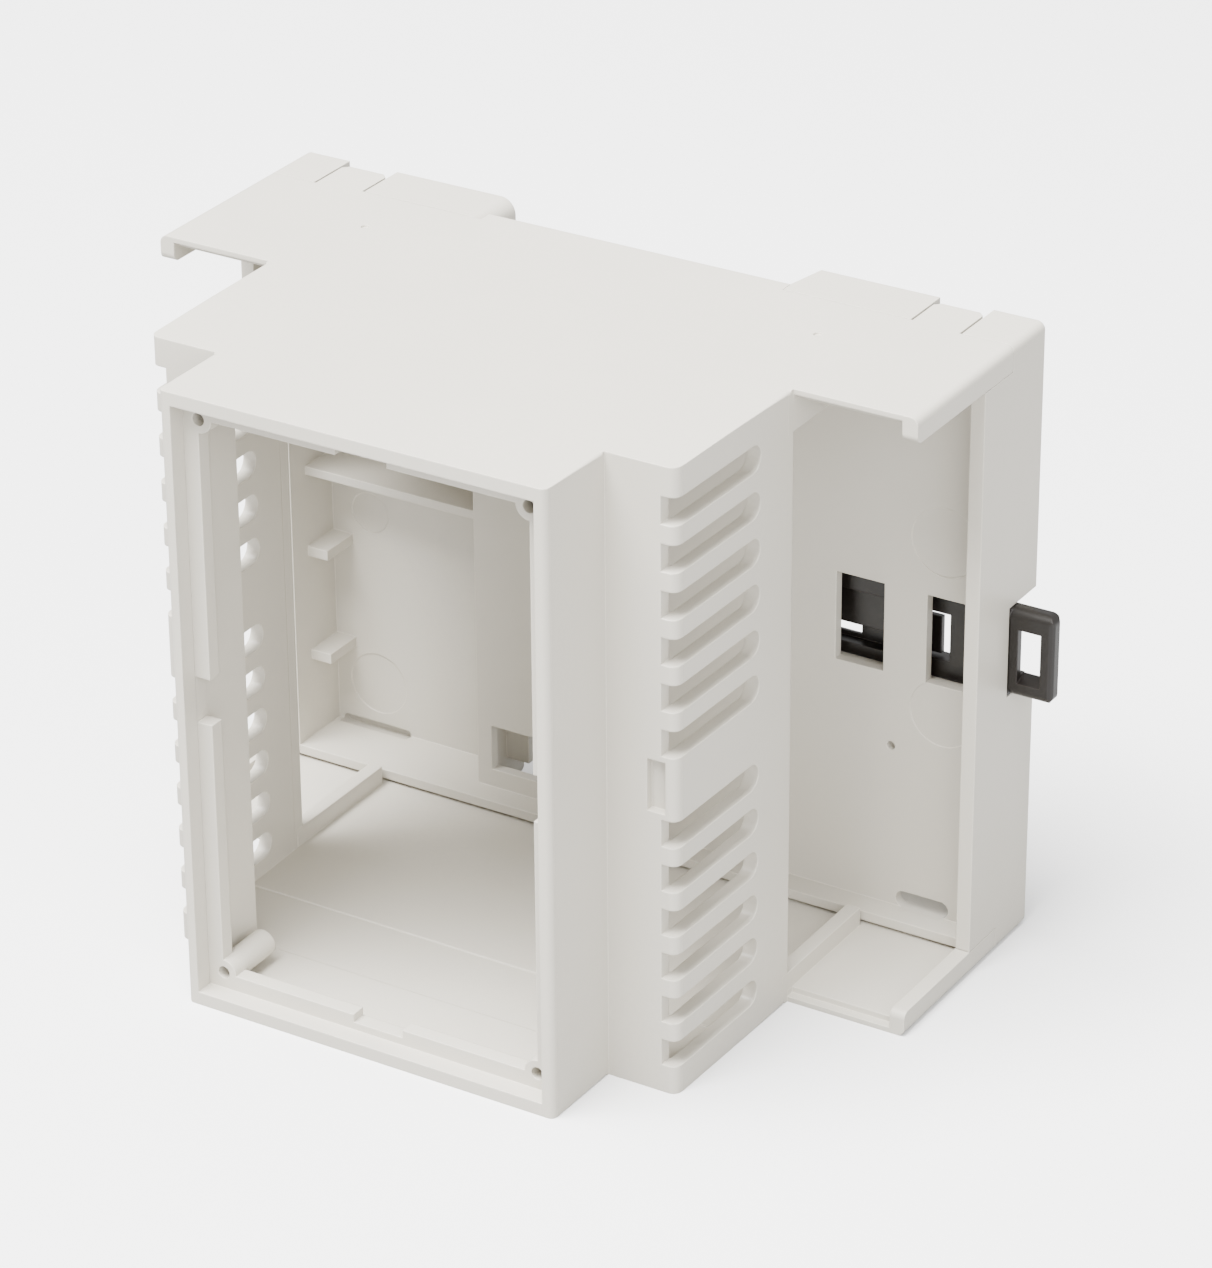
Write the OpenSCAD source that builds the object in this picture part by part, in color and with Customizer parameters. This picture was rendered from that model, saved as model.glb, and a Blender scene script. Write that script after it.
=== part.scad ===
// DIN rail enclosure, four modules wide: an open-fronted housing snapped onto a rear base,
// with a sprung clip that slides in the base and locks the enclosure to a 35 mm rail.
// X runs across the rail, Y from the open nose back to the rail, Z along the rail.

/* [Housing] */
// Length along the rail, four modules of 17.5 mm
module_len = 70; // [52.5:17.5:105]
// Width across the rail
body_w = 90; // [86:0.5:94]
// How far the end walls stop in front of the feet's ends
wall_set = 6.9; // [6.8:0.1:7.2]
// End wall thickness
end_wall = 1.3; // [1.2:0.1:1.5]
// Nose width at its rim
nose_w = 44.8; // [43:0.1:46]
// Nose width where it meets the step
nose_root_w = 45.3; // [43.5:0.1:46.5]
// Depth of the nose in front of the step
nose_depth = 10.2; // [9:0.1:12]
// Middle section width at the step
mid_w = 61.4; // [59:0.1:63]
// Middle section width where the terminal bays open
mid_root_w = 62.4; // [60:0.1:64]
// Depth at which the terminal bays open
bay_front = 31.8; // [30:0.1:34]
// Wall thickness of the nose
nose_wall = 1.35; // [1.2:0.05:1.6]
// Wall thickness of the middle section
mid_wall = 1.6; // [1.2:0.1:2]
// Height of the lips that edge the terminal bays
lip_h = 2.8; // [2.4:0.1:3.4]
// Thickness of the lips
lip_t = 1.7; // [1.4:0.1:2]

/* [Front opening] */
// Depth of the recess that takes a front panel
panel_recess = 2.1; // [1.8:0.1:3]
// Rim left round the recess
rim = 1.5; // [1.2:0.1:2]
// Width of the ledge behind the recess
ledge_w = 1.8; // [1.4:0.1:2.4]
// Thickness of the ledge
ledge_t = 1.7; // [1.4:0.1:2.4]
// Length of the snap notches in the ledge
notch_l = 6; // [4:0.2:8]
// Depth of the snap notches
notch_d = 0.9; // [0.6:0.1:1.2]
// Length of the gaps in the ledge half way along its sides
side_notch_l = 5.2; // [4:0.2:8]
// Screw boss diameter
boss_d = 3; // [2.8:0.1:3.6]
// Pilot hole diameter in a screw boss
boss_hole_d = 1.4; // [1.2:0.1:1.8]
// Length of a screw boss
boss_l = 7.2; // [6:0.2:9]
// Boss axis from the ends and from the nose sides
boss_inset = 3.35; // [3.3:0.05:4]

/* [Vents] */
// Vents each side of the middle of one wall
vents_half = 6; // [3:1:6]
// Vent pitch
vent_pitch = 5.05; // [4.6:0.05:5.2]
// Vent height
vent_h = 3; // [2:0.1:3.4]
// Depth at which the vents end
vent_end = 25.7; // [20:0.1:27]

/* [Base] */
// Overall depth from the nose rim to the feet
total_depth = 58.7; // [56:0.1:60]
// How far the plate's front face lies in front of the feet's ends
plate_set = 7.9; // [7.7:0.1:9]
// Plate thickness
plate_t = 1.2; // [1:0.1:1.6]
// Thickness of the outer side walls
side_t = 1.6; // [1.4:0.1:2.2]
// How far the pocket floor on the fixed hook side lies in front of the feet's ends
pocket_set = 2.8; // [2.7:0.1:4.7]
// How far the surface that seats the rail lies in front of the feet's ends
seat_set = 4.8; // [4.3:0.1:5.5]
// Width of the rail channel
rail_slot_w = 36; // [35.6:0.1:37]
// Reach of the fixed hook over the rail's edge
hook_reach = 2.9; // [1.5:0.1:3.2]

/* [Clip] */
// Clip width along the rail
clip_w = 10; // [8:0.2:12]
// Clip thickness
clip_t = 1.8; // [1.6:0.1:1.9]
// How far the clip's front face lies in front of the feet's ends
clip_set = 5.8; // [5.7:0.1:6]
// Running gap each side of the clip
clip_gap = 0.15; // [0.1:0.05:0.3]
// How far the handle stands out of the base
handle_out = 5; // [4:0.1:7]
// How far the clip slides out to let the rail go
clip_travel = 3; // [2:0.1:3.2]

/* [Hidden] */
$fn = 48;
eps = 0.01;

grey = [0.83, 0.82, 0.80];
black = [0.16, 0.14, 0.13];

// Widths are halved once here, since every section is drawn about the middle plane.
half_w = body_w / 2;
nose_x = nose_w / 2;
nose_root_x = nose_root_w / 2;
mid_x = mid_w / 2;
mid_root_x = mid_root_w / 2;
mid_z = module_len / 2;

// Everything at the rear keeps its distance from the feet's ends when the depth changes.
wall_depth = total_depth - wall_set;
plate_y = total_depth - plate_set;
pocket_y = total_depth - pocket_set;
seat_y = total_depth - seat_set;
clip_y = total_depth - clip_set;

// The finished part is moved back so that the origin is the middle of the end face it stands on.
mid_y = total_depth / 2;

// Step wall between the nose and the middle section.
step_t = 1.5;
nose_in_x = nose_x - nose_wall;
nose_root_in_x = nose_root_x - nose_wall;
mid_in_x = mid_x - mid_wall;

// Opening inside the ledge.
open_x = nose_in_x - ledge_w;
open_z = rim + ledge_w;

// Front edge of the terminal bays: the end walls thin down over a short way.
bay_edge = 0.6;
bay_edge_l = 1;

// The end walls step in by a hair's breadth where the front part of the mould ends.
floor_step_y = 21.5;
floor_step = 0.15;

// Snap tongues at the rear of each end wall, and the seams beside them.
tongue_x = 36.1;
tongue_w = 5.6;
tongue_end = total_depth - 1.3;
tongue_gap = 0.27;
tongue_in = tongue_x - tongue_w / 2;
tongue_out = tongue_x + tongue_w / 2;
catch_y = total_depth - 3.3;
catch_h = 0.6;
block_x = tongue_out + tongue_gap;
foot_out_x = tongue_in - tongue_gap;
foot_in_x = rail_slot_w / 2;
foot_corner_x = foot_in_x + 0.3;
foot_slant = 1.2;
foot_seam_y = total_depth - 6.3;
seam = 0.06;

// Ribs that carry the middle walls on across the terminal bays.
rib_t = 1.6;
rib_h = 3.4;
rib_top_h = 4.6;
rib_end = total_depth - 11.3;
web_end = bay_front + 8;

// Base: front edge and thickness of the flanges that tuck inside the end walls.
flange_y = total_depth - 10.8;
flange_t = 1.1;
flange_gap = 0.4;
base_z0 = end_wall + flange_gap;
base_z1 = module_len - base_z0;
flange_z = base_z0 + flange_t;
side_front_y = total_depth - 12.7;
side_in_x = half_w - side_t;
foot_wall = 1.6;
foot_end = 2.2;
pocket_in_x = 41;
pocket_wall = 1.4;
pocket_out_x = 19;
pocket_bracket_z = [-22, -9.1, 10.7, 23.6];
pocket_back = pocket_y + 1.4;

// Clip channel behind the plate.
plate_back = plate_y + plate_t;
clip_mid_z = mid_z + 0.1;
chan_w = clip_w + 2 * clip_gap;
chan_wall = 1.3;
chan_back = total_depth - 1.3;
window_z = mid_z + 0.4;
window_h = 10.2;
strap_y = clip_y + clip_t + clip_gap;
strap_t = 1.4;
strap_w = 2.6;

// Clip: its jaw is narrower than its body, and the shoulder between them stops against the foot.
jaw_w = clip_w - 1.6;
shoulder_x = foot_in_x + foot_wall + 0.1;
jaw_back_x = shoulder_x + 1.3;
jaw_x = 16.2;
jaw_y = seat_y + 1.2;
jaw_end = total_depth - 1.5;

// Hooks opposite the clip, and the openings in the plate above them.
hook_z = 4.2;
hook_l = 6.2;
hook_open_z = 5;
hook_open_l = 5.4;

// Sunk middle of the clip's front, with a groove along it that is cut right through at one end.
sunk = 0.6;
sunk_hi = 2.55;
groove_lo = -3.7;
groove_hi = -1.7;
groove_deep = 1.4;
groove_cut_x = 27.1;
groove_cut_lo = -3.2;

// Opening in the clip round its thin tongue.
clip_open_x = 31.5;
clip_open_end = 38.2;
clip_open_lo = -2.85;
clip_tongue_end = 36.9;
clip_tongue_t = 0.65;
clip_tongue_lo = -2.5;
clip_tongue_hi = 1.75;

// Straps behind the clip; a stop on its back meets the first when the clip is drawn out.
strap_x = [28, 38.9];
stop_t = 1.4;
stop_h = 0.9;
stop_x = strap_x[0] - clip_travel - 0.1 - stop_t;

// ---------------------------------------------------------------- shared shapes

module in_y(y) {
    translate([0, y, 0]) rotate([-90, 0, 0]) children();
}

// A box given by two opposite corners.
module box(lo, hi) {
    translate(lo) cube(hi - lo);
}

// Both ends of the part, one drawn at z = 0 and the other mirrored about the middle.
module both_ends() {
    children();
    translate([0, 0, module_len]) mirror([0, 0, 1]) children();
}

module both_sides() {
    children();
    mirror([1, 0, 0]) children();
}

// Removes the outer edge along Y of a side face at x, at the end z = 0.
module edge_along_y(x, y0, y1, r) {
    translate([x - r, y0 - 0.5, 0]) rotate([-90, 0, 0])
        difference() {
            translate([0, -r, 0]) cube([r + 1, r + 1, y1 - y0 + 1]);
            translate([0, -r, -1]) cylinder(r = r, h = y1 - y0 + 3);
        }
}

// Removes the vertical edge at the corner (x, y) whose body lies towards -x and +y.
module edge_along_z(x, y, r) {
    translate([x - r, y + r, -1])
        difference() {
            translate([0, -r - 1, 0]) cube([r + 1, r + 1, module_len + 2]);
            translate([0, 0, -1]) cylinder(r = r, h = module_len + 4);
        }
}

// ---------------------------------------------------------------- housing

// One side of an end wall, from the middle plane out to the bay lip.
module end_wall_half() {
    polygon([
        [0, 0], [nose_x, 0], [nose_root_x, nose_depth], [mid_x, nose_depth],
        [mid_root_x, bay_front], [half_w, bay_front], [half_w, wall_depth],
        [tongue_out, wall_depth], [tongue_out, tongue_end - 0.6], [tongue_out - 0.6, tongue_end],
        [tongue_in + 0.6, tongue_end], [tongue_in, tongue_end - 0.6],
        [tongue_in, foot_seam_y - seam], [foot_corner_x - seam, foot_seam_y - seam],
        [foot_corner_x - seam, seat_y], [0, seat_y]
    ]);
}

// Side walls of the nose and the middle section with the step between them.
module side_walls_half() {
    polygon([
        [nose_in_x, 0], [nose_x, 0], [nose_root_x, nose_depth], [mid_x, nose_depth],
        [mid_root_x, bay_front], [mid_root_x - mid_wall + 0.05, bay_front],
        [mid_root_x - mid_wall + 0.05, bay_front - 1.6], [mid_root_x - mid_wall - 0.05, bay_front - 1.6],
        [mid_in_x, nose_depth + step_t], [nose_root_in_x + 0.6, nose_depth + step_t],
        [nose_root_in_x, nose_depth + step_t - 0.6]
    ]);
}

module vents() {
    for (k = [-vents_half:vents_half])
        if (k != 0)
            translate([0, 0, mid_z + k * vent_pitch]) {
                box([mid_in_x - 0.2, nose_depth - 1, -vent_h / 2],
                    [mid_root_x + 1, vent_end - vent_h / 2, vent_h / 2]);
                translate([mid_in_x - 1, vent_end - vent_h / 2, 0])
                    rotate([0, 90, 0]) cylinder(d = vent_h, h = 4);
            }
}

module bosses(d, y0, y1) {
    for (x = [-1, 1], z = [boss_inset, module_len - boss_inset])
        translate([x * (nose_x - boss_inset + 0.15), 0, z])
            in_y(y0) cylinder(d = d, h = y1 - y0);
}

module ledge() {
    difference() {
        box([-nose_in_x - eps, panel_recess, end_wall - eps],
            [nose_in_x + eps, panel_recess + ledge_t, module_len - end_wall + eps]);
        box([-open_x, 0, open_z], [open_x, nose_depth, module_len - open_z]);
        // Snap notches for the front panel, one in the middle of each end.
        both_ends() box([-notch_l / 2, 0, open_z - notch_d], [notch_l / 2, nose_depth, open_z + 1]);
        // The ledge is left out half way along each side.
        both_sides()
            box([open_x - 1, 0, mid_z - side_notch_l / 2], [nose_in_x, nose_depth, mid_z + side_notch_l / 2]);
    }
    // Rim round the recess.
    both_ends() box([-nose_in_x - eps, 0, end_wall - eps], [nose_in_x + eps, panel_recess + eps, rim]);
}

// Lips and ribs of the terminal bays.
module bay_rims() {
    both_ends() both_sides() {
        // Lip along the outer edge of the bay, rounded at its front.
        box([half_w - lip_t, bay_front, 0], [half_w, wall_depth, lip_h - 0.8]);
        box([half_w - lip_t, bay_front + 0.8, 0], [half_w, wall_depth, lip_h]);
        translate([half_w - lip_t, bay_front + 0.8, lip_h - 0.8])
            rotate([0, 90, 0]) cylinder(r = 0.8, h = lip_t);
        // Rib that carries the middle wall on to the base.
        box([mid_root_x - rib_t, bay_front - 1, 0], [mid_root_x, rib_end, rib_h]);
    }
    // Webs that stiffen the end of the middle walls at one end.
    translate([0, 0, module_len - rib_top_h]) both_sides()
        box([mid_root_x - rib_t, bay_front - 1, 0], [mid_root_x, web_end, rib_top_h]);
}

// Catch on the inner face of each tongue, sloped so that it rides over the base.
module tongue_catches() {
    both_ends() both_sides()
        translate([tongue_in, 0, 0]) rotate([90, 0, 90]) linear_extrude(tongue_w)
            polygon([[catch_y, end_wall - eps], [catch_y, end_wall + catch_h],
                     [tongue_end - 0.8, end_wall + 0.1], [tongue_end - 0.8, end_wall - eps]]);
}

module housing() color(grey)
    translate([0, -mid_y, 0]) difference() {
        union() {
            both_ends() linear_extrude(end_wall) {
                end_wall_half();
                mirror([1, 0]) end_wall_half();
            }
            both_sides() linear_extrude(module_len) side_walls_half();
            ledge();
            bay_rims();
            tongue_catches();
            bosses(boss_d, panel_recess, panel_recess + boss_l);
        }
        // Recess for a front panel.
        box([-nose_in_x, -1, rim], [nose_in_x, panel_recess, module_len - rim]);
        // Pilot holes, blind towards the rear.
        bosses(boss_hole_d, panel_recess - 1, panel_recess + boss_l - 1);
        both_sides() vents();
        // Shallow snap marks in the step faces, half way along.
        both_sides() box([mid_x - 3.4, nose_depth - 1, mid_z - 2.9], [mid_x - 1.3, nose_depth + 0.9, mid_z + 2.9]);
        both_ends() both_sides() {
            // Thinned front edge of each bay.
            box([mid_root_x + 0.02, bay_front - 1, bay_edge],
                [half_w - lip_t - 0.02, bay_front + bay_edge_l, end_wall + 1]);
            edge_along_y(half_w, bay_front, wall_depth, 0.9);
            edge_along_y(mid_root_x, nose_depth, bay_front - 1, 0.4);
            edge_along_y(nose_root_x, 0, nose_depth - 0.8, 0.4);
        }
        both_ends() box([-mid_in_x, nose_depth + step_t, end_wall - floor_step],
                        [mid_in_x, floor_step_y, end_wall + 1]);
        both_sides() {
            edge_along_z(mid_x, nose_depth, 1);
            edge_along_z(nose_x, 0, 0.7);
        }
        // Gate marks on the end walls.
        both_ends() for (x = [-27.6, 26.8]) translate([x, 44.4, -0.1]) cylinder(d = 0.9, h = 0.3);
    }

// ---------------------------------------------------------------- base

// Everything that is one section all along the rail, drawn between the end walls.
module base_section() {
    // Plate over the rail and behind the terminal bay on the clip side.
    translate([-pocket_out_x, plate_y]) square([pocket_out_x + side_in_x + eps, plate_t]);
    // Strip that ties the pocket's outer wall to the side wall.
    translate([-side_in_x - eps, plate_y])
        square([side_in_x - pocket_in_x - pocket_wall + 2 * eps, plate_t]);
    // Pocket walls and floor.
    translate([-pocket_in_x - pocket_wall, flange_y]) square([pocket_wall, pocket_back - flange_y]);
    translate([-pocket_in_x - eps, pocket_y])
        square([pocket_in_x - foot_in_x, pocket_back - pocket_y]);
    // Outer side walls.
    for (s = [-1, 1])
        translate([s * (half_w - side_t / 2) - side_t / 2, side_front_y])
            square([side_t, total_depth - side_front_y]);
    // Inner walls of the feet, leaning away from the rail, the clip side first.
    polygon([
        [foot_in_x, plate_y], [foot_in_x, seat_y + 0.2], [foot_in_x + foot_slant, total_depth],
        [foot_in_x + foot_slant + foot_wall, total_depth], [foot_in_x + foot_wall, seat_y],
        [foot_in_x + foot_wall, plate_y]
    ]);
    polygon([
        [-foot_in_x, plate_y], [-foot_in_x, total_depth], [-foot_in_x - foot_wall, total_depth],
        [-foot_in_x - foot_wall, pocket_back - eps], [-pocket_out_x, pocket_back - eps], [-pocket_out_x, plate_y]
    ]);
}

// Ribs across the rail channel that the rail seats on.
module seat_ribs() {
    for (z = [base_z0 + 12, mid_z - 9, mid_z + 9, base_z1 - 12])
        box([-foot_in_x - eps, plate_back - eps, z - 0.6], [foot_in_x + eps, seat_y, z + 0.6]);
    both_ends() box([-foot_in_x - eps, plate_y, base_z0], [foot_in_x + eps, seat_y, base_z0 + 1.2]);
}

// Ends of the feet and corner blocks, flush with the outside of the end walls.
module foot_ends() {
    both_ends() {
        linear_extrude(foot_end) {
            polygon([
                [foot_corner_x, foot_seam_y], [foot_out_x, foot_seam_y], [foot_out_x, total_depth],
                [foot_in_x + foot_slant, total_depth], [foot_corner_x, seat_y + 0.2]
            ]);
            polygon([
                [-foot_corner_x, foot_seam_y], [-foot_out_x, foot_seam_y], [-foot_out_x, total_depth],
                [-foot_in_x, total_depth], [-foot_in_x, seat_y + 0.2], [-foot_corner_x, seat_y + 0.2]
            ]);
        }
        both_sides() {
            box([block_x, wall_depth + seam, 0], [half_w, total_depth, foot_end]);
            // Web behind the tongue, which its catch hooks over.
            box([foot_out_x - 0.6, plate_y + eps, end_wall + 0.15], [block_x + 0.6, catch_y - 0.1, flange_z - eps]);
            // Walls each side of the tongue.
            box([foot_out_x - 1.2, foot_seam_y, 0.5], [foot_out_x, total_depth, flange_z - eps]);
            box([block_x, wall_depth + seam, 0.5], [block_x + 1.2, total_depth, flange_z - eps]);
        }
    }
}

// Hooks that hold one edge of the rail.
module fixed_hooks() {
    both_ends()
        translate([-foot_in_x - eps, jaw_y, hook_z])
            linear_extrude(hook_l)
                polygon([[0, 0], [hook_reach, 0], [hook_reach, 1], [0.6, total_depth - jaw_y - 0.8],
                         [0, total_depth - jaw_y - 0.8]]);
}

module clip_channel() {
    for (s = [-1, 1]) {
        translate([foot_in_x + eps, plate_back - eps,
                   clip_mid_z + s * (chan_w + chan_wall) / 2 - chan_wall / 2])
            cube([side_in_x - foot_in_x, chan_back - plate_back, chan_wall]);
        // Bars behind the plate that guide the clip's front face, clear of the windows.
        for (x = [[shoulder_x + 0.6, 25.2], [32.2, 35.6]])
            box([x[0], plate_back - eps, clip_mid_z + s * 4 - 0.7],
                [x[1], clip_y - clip_gap, clip_mid_z + s * 4 + 0.7]);
    }
    // Straps that hold the clip in.
    for (x = strap_x)
        box([x, strap_y, clip_mid_z - chan_w / 2 - eps],
            [x + strap_w, strap_y + strap_t, clip_mid_z + chan_w / 2 + eps]);
}

module round_slot(x0, x1, z0, h, y0, y1) {
    box([x0 + h / 2, y0, z0], [x1 - h / 2, y1, z0 + h]);
    for (x = [x0 + h / 2, x1 - h / 2])
        translate([x, 0, z0 + h / 2]) in_y(y0) cylinder(d = h, h = y1 - y0);
}

// Shallow round marks left by the ejector pins.
module ejector_mark(x, y, z, r) {
    translate([x, 0, z]) in_y(y - 1) cylinder(r = r, h = 1.1);
}

module base() color(grey)
    translate([0, -mid_y, 0]) difference() {
        union() {
            translate([0, 0, base_z0]) linear_extrude(base_z1 - base_z0) base_section();
            // Flanges that tuck inside the end walls.
            both_ends() {
                box([-side_in_x - eps, flange_y, base_z0], [side_in_x + eps, plate_y + eps, flange_z]);
                box([-pocket_in_x - eps, plate_y, base_z0], [-foot_in_x, pocket_y + eps, flange_z]);
            }
            seat_ribs();
            foot_ends();
            fixed_hooks();
            clip_channel();
            // Cross rib in the pocket and the small brackets on its outer wall.
            box([-pocket_in_x - eps, plate_y, mid_z + 0.3], [-foot_in_x, pocket_y + eps, mid_z + 1.3]);
            for (z = pocket_bracket_z)
                box([-pocket_in_x - eps, plate_y, mid_z + z - 0.6],
                    [-pocket_in_x + 2.6, pocket_y + eps, mid_z + z + 0.6]);
        }
        // The side walls stop short of the housing lips in front of the blocks.
        both_ends() both_sides()
            box([side_in_x - 0.1, side_front_y - 1, -1], [half_w + 1, wall_depth + seam, lip_h + seam]);
        // Room for the housing's tongues and their catches.
        both_ends() both_sides() {
            box([foot_out_x, wall_depth, -1], [block_x, total_depth + 1, end_wall + 0.15]);
            box([foot_out_x, catch_y - 0.1, -1], [block_x, total_depth + 1, end_wall + catch_h + 0.2]);
            // Rounded outer edges of the feet.
            edge_along_y(half_w, wall_depth, total_depth, 0.9);
        }
        // Windows in front of the clip.
        box([25.85, plate_y - 1, window_z - window_h / 2], [31.55, plate_back + 0.1, window_z + window_h / 2]);
        box([36.55, plate_y - 1, window_z - window_h / 2],
            [side_in_x, plate_back + 0.1, window_z + window_h / 2]);
        // Way out for the jaw through the foot, and for the handle through the outer wall.
        box([foot_in_x - 1, clip_y - clip_gap, clip_mid_z - jaw_w / 2 - clip_gap],
            [jaw_back_x, total_depth + 1, clip_mid_z + jaw_w / 2 + clip_gap]);
        box([shoulder_x - 0.1, clip_y - clip_gap, clip_mid_z - chan_w / 2],
            [shoulder_x + 2, total_depth + 1, clip_mid_z + chan_w / 2]);
        box([side_in_x - 0.5, clip_y - clip_gap, clip_mid_z - chan_w / 2],
            [half_w + 1, total_depth + 1, clip_mid_z + chan_w / 2]);
        // Slots behind the tongues.
        both_ends() {
            round_slot(33.6, 39.9, flange_z - 0.05, 1.95, plate_y - 0.5, plate_y + 4);
            round_slot(-40.4, -31.3, flange_z - 0.6, 1.2, pocket_y - 0.9, pocket_y + 0.9);
            // Openings over the fixed hooks.
            box([-foot_in_x + 0.8, plate_y - 1, hook_open_z], [-11.2, seat_y + 0.1, hook_open_z + hook_open_l]);
            // Rounded edge of the foot that carries the fixed hooks.
            mirror([1, 0, 0]) translate([2 * foot_in_x, 0, 0]) mirror([1, 0, 0])
                edge_along_y(foot_in_x, foot_seam_y + 0.4, total_depth, 1.8);
        }
        // Gate dimple and ejector marks.
        translate([32.65, 0, mid_z - 13.2]) in_y(plate_y - 0.1) cylinder(d = 1, h = 1);
        ejector_mark(38.45, plate_y, mid_z + 11.9, 3.9);
        ejector_mark(38.6, plate_y, mid_z - 7.9, 3.8);
        ejector_mark(-36, pocket_y, mid_z - 5.3, 2.4);
        ejector_mark(-35.5, pocket_y, mid_z - 26.6, 3.7);
    }

// ---------------------------------------------------------------- rail clip

// Handle outside the base, rounded at its corners and along its front edges.
module handle() {
    l = handle_out + 0.4;
    translate([half_w - 0.4, clip_y, 0]) intersection() {
        rotate([90, 0, 90]) linear_extrude(l) round_fronted(clip_w / 2, clip_t, 1);
        union() {
            box([0, -1, -clip_w / 2], [l - 1, clip_t + 1, clip_w / 2]);
            box([l - 1.5, -1, 1 - clip_w / 2], [l, clip_t + 1, clip_w / 2 - 1]);
            for (s = [-1, 1])
                translate([l - 1, 0, s * (clip_w / 2 - 1)]) in_y(-1) cylinder(r = 1, h = clip_t + 2);
        }
        translate([0, 0, -clip_w / 2]) linear_extrude(clip_w)
            polygon([[0, 0], [l - 0.5, 0], [l - 0.15, 0.15], [l, 0.5], [l, clip_t - 0.3],
                     [l - 0.3, clip_t], [0, clip_t]]);
    }
}

// Half-round-edged section: h to each side of the middle, t deep, its two front corners of radius r.
module round_fronted(h, t, r) {
    translate([r, r - h]) square([t - r, 2 * (h - r)]);
    translate([0, r - h]) square([r + eps, 2 * (h - r)]);
    translate([r, -h]) square([t - r, 2 * h]);
    for (s = [-1, 1]) translate([r, s * (h - r)]) circle(r);
}

module rail_clip() color(black)
    translate([0, -mid_y, clip_mid_z])
        difference() {
            union() {
                // Flat body and handle.
                box([shoulder_x, clip_y, -clip_w / 2], [half_w, clip_y + clip_t, clip_w / 2]);
                handle();
                // Jaw that reaches over the rail's edge.
                translate([0, 0, -jaw_w / 2]) linear_extrude(jaw_w)
                    polygon([[shoulder_x + 0.1, clip_y], [jaw_back_x, clip_y], [jaw_back_x, jaw_end - 0.6],
                             [jaw_back_x - 0.6, jaw_end], [jaw_x + 1.8, jaw_end], [jaw_x, jaw_y + 0.8],
                             [jaw_x, jaw_y], [foot_in_x - 0.4, jaw_y], [foot_in_x - 0.4, clip_y]]);
                // Stop on the back, sloped so that it rides under the strap when the clip is fitted.
                translate([0, 0, 0.5]) linear_extrude(3.4)
                    polygon([[stop_x - 0.8, clip_y + clip_t - eps], [stop_x + stop_t, clip_y + clip_t - eps],
                             [stop_x + stop_t, clip_y + clip_t + stop_h], [stop_x, clip_y + clip_t + stop_h]]);
            }
            // Sunk middle of the front, with the groove along it.
            box([jaw_back_x + 0.8, clip_y - 1, groove_hi - eps], [clip_open_end, clip_y + sunk, sunk_hi]);
            box([jaw_back_x + 0.8, clip_y - 1, groove_lo], [clip_open_x - 0.6, clip_y + groove_deep, groove_hi]);
            box([jaw_back_x + 0.8, clip_y - 1, groove_cut_lo], [groove_cut_x, clip_y + clip_t + 1, groove_hi]);
            // Opening round the tongue.
            difference() {
                box([clip_open_x, clip_y - 1, clip_open_lo], [clip_open_end, clip_y + clip_t + 1, sunk_hi]);
                box([clip_open_x - 1, clip_y + sunk, clip_tongue_lo],
                    [clip_tongue_end, clip_y + sunk + clip_tongue_t, clip_tongue_hi]);
            }
            // Slot in the handle for a screwdriver, with a sloping floor and one side relieved behind.
            translate([half_w, clip_y, 0]) rotate([90, 0, 90]) translate([0, 0, 1]) linear_extrude(2.6)
                polygon([[-1, 2.85], [clip_t + 1, 2.85], [clip_t + 1, -2.7], [clip_t, -2.8], [0, -3.35], [-1, -3.35]]);
            box([half_w + 0.4, clip_y + 0.85, -2.7], [half_w + 1.1, clip_y + clip_t + 1, 2.85]);
        }

housing();
base();
rail_clip();
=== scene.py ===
"""Finishes, light and camera for a rail-mounted plastic enclosure with a sliding clip."""

import math

import bpy
from mathutils import Matrix, Vector


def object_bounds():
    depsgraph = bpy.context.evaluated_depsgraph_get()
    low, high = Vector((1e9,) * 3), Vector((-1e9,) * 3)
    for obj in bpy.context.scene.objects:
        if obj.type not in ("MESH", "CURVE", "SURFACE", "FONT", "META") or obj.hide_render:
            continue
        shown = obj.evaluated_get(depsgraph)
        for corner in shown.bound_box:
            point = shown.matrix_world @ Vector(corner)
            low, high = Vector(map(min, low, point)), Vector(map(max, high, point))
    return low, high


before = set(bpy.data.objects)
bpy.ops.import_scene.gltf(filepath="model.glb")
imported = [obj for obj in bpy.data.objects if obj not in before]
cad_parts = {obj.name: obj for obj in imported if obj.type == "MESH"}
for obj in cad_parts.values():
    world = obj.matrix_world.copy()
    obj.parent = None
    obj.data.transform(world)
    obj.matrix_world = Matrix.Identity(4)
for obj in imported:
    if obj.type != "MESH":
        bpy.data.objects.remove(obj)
CAD_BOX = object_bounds()

bl_info = {
    "name": "DIN Rail Enclosure Finishes",
    "version": (1, 0, 0),
    "blender": (4, 5, 0),
    "location": "View3D > Sidebar > Enclosure",
    "description": "Moulded plastic finishes, studio floor, soft light and camera for the enclosure",
    "category": "Object",
}

MM = 0.001

HOUSING_ROUGHNESS = 0.33
BASE_ROUGHNESS = 0.36
CLIP_ROUGHNESS = 0.3
# How many times lighter the base colour is painted on the edges of the grey and the black plastic,
# as a painted highlight.
GREY_EDGE_HIGHLIGHT_PAINT = 1.4
BLACK_EDGE_HIGHLIGHT_PAINT = 2.6
PLASTIC_IOR = 1.5

# Sizes of the blotches in the plastic, and how far they shift its colour and sheen.
DRIFT_SIZE = 22 * MM
SHEEN_SIZE = 6 * MM
SPECKLE_GRAINS = 2.5
DRIFT_SHADES = (0.97, 1.02)
SPECKLE_SHADE = 0.985
SHEEN_SHIFT = (-0.04, 0.05)

# Range in which most of a noise texture's values lie.
NOISE_RANGE = (0.3, 0.7)

# The painted edge highlight is full where the eased normal has turned this far from the face's own.
EDGE_FULL = 0.8
EDGE_SAMPLES = 4

# The floor sends this share of its light back up, so that the sides keep their shade.

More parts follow.
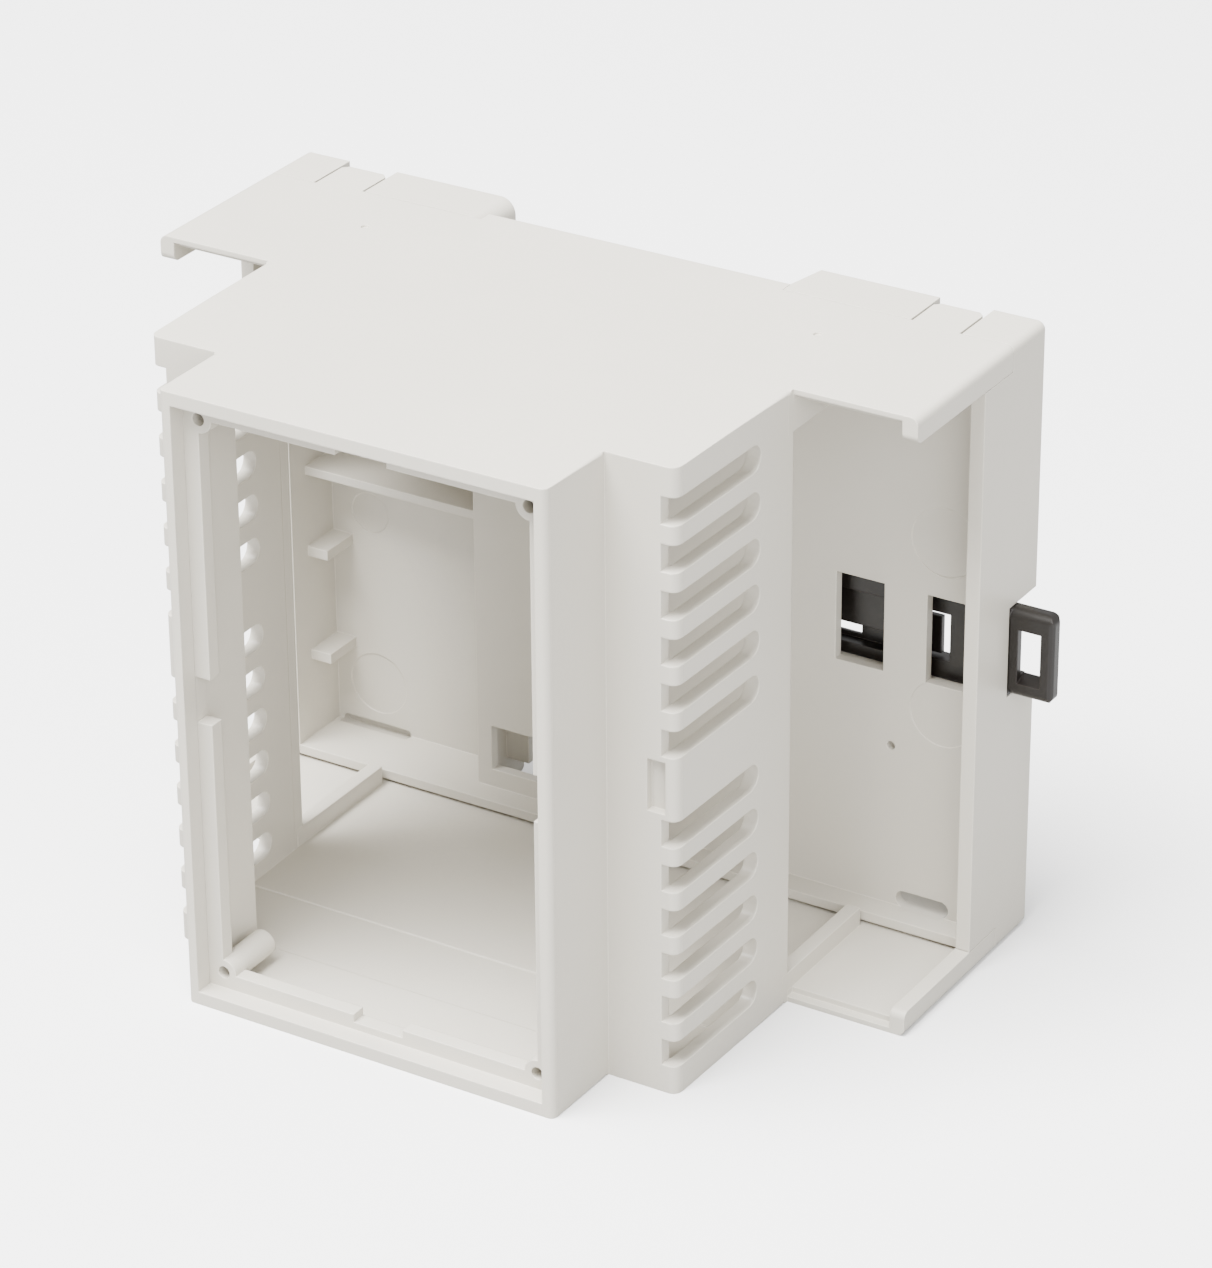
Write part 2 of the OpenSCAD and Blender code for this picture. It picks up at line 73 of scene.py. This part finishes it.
BOUNCE_SHARE = 0.35
FLOOR_CLOUD_SIZE = 0.3
FLOOR_SHADE = 0.99
FLOOR_ROUGHNESS = 0.8
FLOOR_GLOSS = 0.1

KEY_PLACE = (-0.2, -0.42, 1.3)
KEY_SIZE = 0.9
FILL_PLACE = (0.9, -0.7, 0.5)
FILL_SIZE = 0.8
SENSOR_HEIGHT = 36.0
VIEW_END = 50.0


class EnclosurePlastics(bpy.types.PropertyGroup):
    """Colours and surface of the mouldings."""

    housing_colour: bpy.props.FloatVectorProperty(
        name="Housing colour",
        description="Light grey of the stepped housing",
        subtype="COLOR",
        size=3,
        min=0.0,
        max=1.0,
        default=(0.56, 0.53, 0.462),
    )
    base_colour: bpy.props.FloatVectorProperty(
        name="Base colour",
        description="Light grey of the rear base",
        subtype="COLOR",
        size=3,
        min=0.0,
        max=1.0,
        default=(0.55, 0.52, 0.452),
    )
    clip_colour: bpy.props.FloatVectorProperty(
        name="Clip colour",
        description="Brown-black of the sliding clip",
        subtype="COLOR",
        size=3,
        min=0.0,
        max=1.0,
        default=(0.008, 0.0062, 0.0051),
    )
    grain_size: bpy.props.FloatProperty(
        name="Grain size",
        description="Size of the fine eroded texture on the mould's faces",
        subtype="DISTANCE",
        unit="LENGTH",
        min=0.05 * MM,
        max=2.0 * MM,
        default=0.22 * MM,
    )
    grain_depth: bpy.props.FloatProperty(
        name="Grain depth",
        description="Height of the fine texture",
        subtype="DISTANCE",
        unit="LENGTH",
        min=0.0,
        max=0.1 * MM,
        default=0.007 * MM,
    )
    edge_radius: bpy.props.FloatProperty(
        name="Edge radius",
        description="Radius that the moulded edges seem to have",
        subtype="DISTANCE",
        unit="LENGTH",
        min=0.02 * MM,
        max=1.0 * MM,
        default=0.2 * MM,
    )


class EnclosureStage(bpy.types.PropertyGroup):
    """Floor, lights and camera."""

    floor_colour: bpy.props.FloatVectorProperty(
        name="Floor colour",
        description="Plain pale floor",
        subtype="COLOR",
        size=3,
        min=0.0,
        max=1.0,
        default=(0.93, 0.93, 0.93),
    )
    floor_size: bpy.props.FloatProperty(
        name="Floor size",
        description="Side of the square floor",
        subtype="DISTANCE",
        unit="LENGTH",
        min=1.0,
        max=20.0,
        default=8.0,
    )
    sky_strength: bpy.props.FloatProperty(
        name="Surround strength",
        description="Brightness of the even white surround",
        min=0.0,
        max=5.0,
        default=0.95,
    )
    key_power: bpy.props.FloatProperty(
        name="Key power",
        description="Power of the large soft light overhead",
        subtype="POWER",
        unit="POWER",
        min=0.0,
        max=500.0,
        default=108.0,
    )
    fill_power: bpy.props.FloatProperty(
        name="Fill power",
        description="Power of the soft light in front",
        subtype="POWER",
        unit="POWER",
        min=0.0,
        max=500.0,
        default=15.0,
    )
    camera_place: bpy.props.FloatVectorProperty(
        name="Camera place",
        description="Where the camera stands",
        subtype="TRANSLATION",
        unit="LENGTH",
        size=3,
        default=(0.257064, -0.400227, 0.281675),
    )
    camera_azimuth: bpy.props.FloatProperty(
        name="Camera azimuth",
        description="Turn of the view round the vertical",
        subtype="ANGLE",
        unit="ROTATION",
        default=math.radians(31.591),
    )
    camera_elevation: bpy.props.FloatProperty(
        name="Camera elevation",
        description="Height of the view above the horizon",
        subtype="ANGLE",
        unit="ROTATION",
        default=math.radians(27.34),
    )
    camera_roll: bpy.props.FloatProperty(
        name="Camera roll",
        description="Tilt of the view about its own axis",
        subtype="ANGLE",
        unit="ROTATION",
        default=math.radians(-0.425),
    )
    lens: bpy.props.FloatProperty(
        name="Lens",
        description="Focal length on a sensor 36 mm high, in millimetres",
        min=10.0,
        max=500.0,
        default=147.183,
    )


def deselect_all():
    """Clears the selection."""
    bpy.ops.object.select_all(action="DESELECT")


def new_material(name):
    """An empty node material with its shader, ready for links."""
    material = bpy.data.materials.new(name)
    material.use_nodes = True
    return material, material.node_tree, material.node_tree.nodes["Principled BSDF"]


def object_noise(tree, size, detail):
    """Noise in object space whose blotches are about size metres across."""
    place = tree.nodes.new("ShaderNodeTexCoord")
    noise = tree.nodes.new("ShaderNodeTexNoise")
    noise.inputs["Scale"].default_value = 1.0 / size
    noise.inputs["Detail"].default_value = detail
    tree.links.new(place.outputs["Object"], noise.inputs["Vector"])
    return noise.outputs["Fac"]


def spread(tree, value, low, high):
    """Maps noise from its middle range to low..high."""
    ranged = tree.nodes.new("ShaderNodeMapRange")
    ranged.inputs["From Min"].default_value = NOISE_RANGE[0]
    ranged.inputs["From Max"].default_value = NOISE_RANGE[1]
    ranged.inputs["To Min"].default_value = low
    ranged.inputs["To Max"].default_value = high
    tree.links.new(value, ranged.inputs["Value"])
    return ranged.outputs["Result"]


def scaled(colour, factor):
    """A colour made lighter or darker, kept within range."""
    return tuple(min(1.0, channel * factor) for channel in colour) + (1.0,)


def eased_normal(tree, radius):
    """A surface normal that turns smoothly over the edges, as on a moulding."""
    bevel = tree.nodes.new("ShaderNodeBevel")
    bevel.samples = EDGE_SAMPLES
    bevel.inputs["Radius"].default_value = radius
    return bevel.outputs["Normal"]


def painted_highlight_mask(tree, normal):
    """Mask for the painted edge highlight: rises from 0 on flat faces to 1 on the edges."""
    geometry = tree.nodes.new("ShaderNodeNewGeometry")
    dot = tree.nodes.new("ShaderNodeVectorMath")
    dot.operation = "DOT_PRODUCT"
    tree.links.new(geometry.outputs["True Normal"], dot.inputs[0])
    tree.links.new(normal, dot.inputs[1])
    ramp = tree.nodes.new("ShaderNodeMapRange")
    ramp.inputs["From Min"].default_value = 1.0
    ramp.inputs["From Max"].default_value = EDGE_FULL
    ramp.inputs["To Min"].default_value = 0.0
    ramp.inputs["To Max"].default_value = 1.0
    tree.links.new(dot.outputs["Value"], ramp.inputs["Value"])
    return ramp.outputs["Result"]


def mix_colours(tree, amount, first, second):
    """Goes from the first colour to the second as amount goes from 0 to 1."""
    mix = tree.nodes.new("ShaderNodeMix")
    mix.data_type = "RGBA"
    factor, low, high = mix.inputs[0], mix.inputs[6], mix.inputs[7]
    tree.links.new(amount, factor)
    for socket, colour in ((low, first), (high, second)):
        if isinstance(colour, bpy.types.NodeSocket):
            tree.links.new(colour, socket)
        else:
            socket.default_value = colour
    return mix.outputs[2]


def grain_bump(tree, height, depth, normal):
    """Fine texture on top of the eased normal."""
    bump = tree.nodes.new("ShaderNodeBump")
    bump.inputs["Strength"].default_value = 1.0
    bump.inputs["Distance"].default_value = depth
    tree.links.new(height, bump.inputs["Height"])
    tree.links.new(normal, bump.inputs["Normal"])
    return bump.outputs["Normal"]


def moulded_plastic(name, colour, grain_size, grain_depth, edge_radius, roughness, painted_highlight_lift):
    """Moulded plastic: faint colour drift, fine grain, painted highlights on the edges and uneven
    sheen.
    """
    material, tree, shader = new_material(name)
    drift = spread(tree, object_noise(tree, DRIFT_SIZE, 3.0), 0.0, 1.0)
    speckle = spread(tree, object_noise(tree, SPECKLE_GRAINS * grain_size, 2.0), 0.0, 1.0)
    dark, light = (scaled(colour, shade) for shade in DRIFT_SHADES)
    clouded = mix_colours(tree, drift, dark, light)
    flecked = mix_colours(tree, speckle, scaled(colour, SPECKLE_SHADE), clouded)
    normal = eased_normal(tree, edge_radius)
    # Painted highlight: the edges are painted lighter in the base colour, as though lit along their
    # rounding.
    highlight_painted = mix_colours(tree, painted_highlight_mask(tree, normal), flecked, scaled(colour, painted_highlight_lift))
    smoothest, roughest = (roughness + shift for shift in SHEEN_SHIFT)
    sheen = spread(tree, object_noise(tree, SHEEN_SIZE, 4.0), smoothest, roughest)
    grain = object_noise(tree, grain_size, 3.0)
    tree.links.new(highlight_painted, shader.inputs["Base Color"])
    tree.links.new(sheen, shader.inputs["Roughness"])
    tree.links.new(grain_bump(tree, grain, grain_depth, normal), shader.inputs["Normal"])
    shader.inputs["IOR"].default_value = PLASTIC_IOR
    return material


def give_finish(node, material):
    """Puts one material on a moulding of the frame."""
    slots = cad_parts[node].data.materials
    slots.clear()
    slots.append(material)


class FinishHousing(bpy.types.Operator):
    """Gives the stepped housing its light grey, finely grained plastic"""

    bl_idname = "enclosure.finish_housing"
    bl_label = "Finish Housing"

    def execute(self, context):
        look = context.scene.enclosure_plastics
        material = moulded_plastic(
            "housing_grey_plastic",
            look.housing_colour,
            look.grain_size,
            look.grain_depth,
            look.edge_radius,
            HOUSING_ROUGHNESS,
            GREY_EDGE_HIGHLIGHT_PAINT,
        )
        give_finish("housing", material)
        return {"FINISHED"}


class FinishBase(bpy.types.Operator):
    """Gives the rear base its slightly darker grey plastic"""

    bl_idname = "enclosure.finish_base"
    bl_label = "Finish Base"

    def execute(self, context):
        look = context.scene.enclosure_plastics
        material = moulded_plastic(
            "base_grey_plastic",
            look.base_colour,
            look.grain_size,
            look.grain_depth,
            look.edge_radius,
            BASE_ROUGHNESS,
            GREY_EDGE_HIGHLIGHT_PAINT,
        )
        give_finish("base", material)
        return {"FINISHED"}


class FinishClip(bpy.types.Operator):
    """Gives the sliding clip its satin brown-black plastic"""

    bl_idname = "enclosure.finish_clip"
    bl_label = "Finish Clip"

    def execute(self, context):
        look = context.scene.enclosure_plastics
        material = moulded_plastic(
            "clip_black_plastic",
            look.clip_colour,
            look.grain_size,
            look.grain_depth,
            look.edge_radius,
            CLIP_ROUGHNESS,
            BLACK_EDGE_HIGHLIGHT_PAINT,
        )
        give_finish("rail_clip", material)
        return {"FINISHED"}


def pale_floor(colour):
    """Matt floor, very slightly uneven, that sends only part of its light back up."""
    material, tree, shader = new_material("pale_floor")
    cloud = spread(tree, object_noise(tree, FLOOR_CLOUD_SIZE, 2.0), 0.0, 1.0)
    seen = mix_colours(tree, cloud, scaled(colour, FLOOR_SHADE), scaled(colour, 1.0))
    path = tree.nodes.new("ShaderNodeLightPath")
    tone = mix_colours(tree, path.outputs["Is Camera Ray"], scaled(colour, BOUNCE_SHARE), seen)
    tree.links.new(tone, shader.inputs["Base Color"])
    shader.inputs["Roughness"].default_value = FLOOR_ROUGHNESS
    shader.inputs["Specular IOR Level"].default_value = FLOOR_GLOSS
    return material


def add_floor(stage):
    """Lays the floor under the object's lowest point."""
    deselect_all()
    bpy.ops.mesh.primitive_plane_add(size=stage.floor_size, location=(0, 0, CAD_BOX[0].z))
    floor = bpy.context.object
    floor.name = "floor"
    bpy.ops.object.transform_apply(location=True, rotation=True, scale=True)
    floor.data.materials.append(pale_floor(stage.floor_colour))


def add_surround(strength):
    """Even white light from all round."""
    world = bpy.data.worlds.new("studio_surround")
    world.use_nodes = True
    background = world.node_tree.nodes["Background"]
    background.inputs["Color"].default_value = (1.0, 1.0, 1.0, 1.0)
    background.inputs["Strength"].default_value = strength
    bpy.context.scene.world = world


def add_soft_light(name, place, aim, size, power):
    """A square soft light at a place, turned to a point."""
    bpy.ops.object.light_add(type="AREA", location=place)
    light = bpy.context.object
    light.name = name
    light.data.size = size
    light.data.energy = power
    direction = Vector(aim) - Vector(place)
    light.rotation_euler = direction.to_track_quat("-Z", "Y").to_euler()


def add_camera(stage):
    """Camera at its place, turned by azimuth, elevation and roll."""
    azimuth, elevation, roll = stage.camera_azimuth, stage.camera_elevation, stage.camera_roll
    back = Vector((
        math.sin(azimuth) * math.cos(elevation),
        -math.cos(azimuth) * math.cos(elevation),
        math.sin(elevation),
    ))
    level_right = Vector((0, 0, 1)).cross(back).normalized()
    level_up = back.cross(level_right)
    right = math.cos(roll) * level_right + math.sin(roll) * level_up
    up = math.cos(roll) * level_up - math.sin(roll) * level_right
    bpy.ops.object.camera_add(location=stage.camera_place)
    camera = bpy.context.object
    camera.name = "studio_camera"
    turn = Matrix((right, up, back)).transposed().to_4x4()
    camera.matrix_world = Matrix.Translation(stage.camera_place) @ turn
    camera.data.sensor_fit = "VERTICAL"
    camera.data.sensor_height = SENSOR_HEIGHT
    camera.data.lens = stage.lens
    camera.data.clip_end = VIEW_END
    bpy.context.scene.camera = camera


class SetStage(bpy.types.Operator):
    """Lays the floor and sets the light and the camera"""

    bl_idname = "enclosure.set_stage"
    bl_label = "Set Stage"

    def execute(self, context):
        stage = context.scene.enclosure_stage
        middle = (CAD_BOX[0] + CAD_BOX[1]) / 2
        add_floor(stage)
        add_surround(stage.sky_strength)
        add_soft_light("key_light", KEY_PLACE, middle, KEY_SIZE, stage.key_power)
        add_soft_light("fill_light", FILL_PLACE, middle, FILL_SIZE, stage.fill_power)
        add_camera(stage)
        return {"FINISHED"}


class EnclosurePanel(bpy.types.Panel):
    """Sizes, colours and steps of the enclosure"""

    bl_idname = "VIEW3D_PT_enclosure"
    bl_label = "Enclosure"
    bl_space_type = "VIEW_3D"
    bl_region_type = "UI"
    bl_category = "Enclosure"

    def draw(self, context):
        column = self.layout.column()
        for group in (context.scene.enclosure_plastics, context.scene.enclosure_stage):
            for name in group.bl_rna.properties.keys():
                if name not in ("rna_type", "name"):
                    column.prop(group, name)
        for step in STEPS:
            column.operator(step.bl_idname)


STEPS = (FinishHousing, FinishBase, FinishClip, SetStage)
CLASSES = (EnclosurePlastics, EnclosureStage) + STEPS + (EnclosurePanel,)


def register():
    """Adds the classes and the scene's settings."""
    for cls in CLASSES:
        bpy.utils.register_class(cls)
    bpy.types.Scene.enclosure_plastics = bpy.props.PointerProperty(type=EnclosurePlastics)
    bpy.types.Scene.enclosure_stage = bpy.props.PointerProperty(type=EnclosureStage)


def unregister():
    """Takes the settings and the classes away again."""
    del bpy.types.Scene.enclosure_stage
    del bpy.types.Scene.enclosure_plastics
    for cls in reversed(CLASSES):
        bpy.utils.unregister_class(cls)


def main():
    """Runs every step in order."""
    register()
    bpy.ops.enclosure.finish_housing()
    bpy.ops.enclosure.finish_base()
    bpy.ops.enclosure.finish_clip()
    bpy.ops.enclosure.set_stage()


if __name__ == "__main__":
    main()
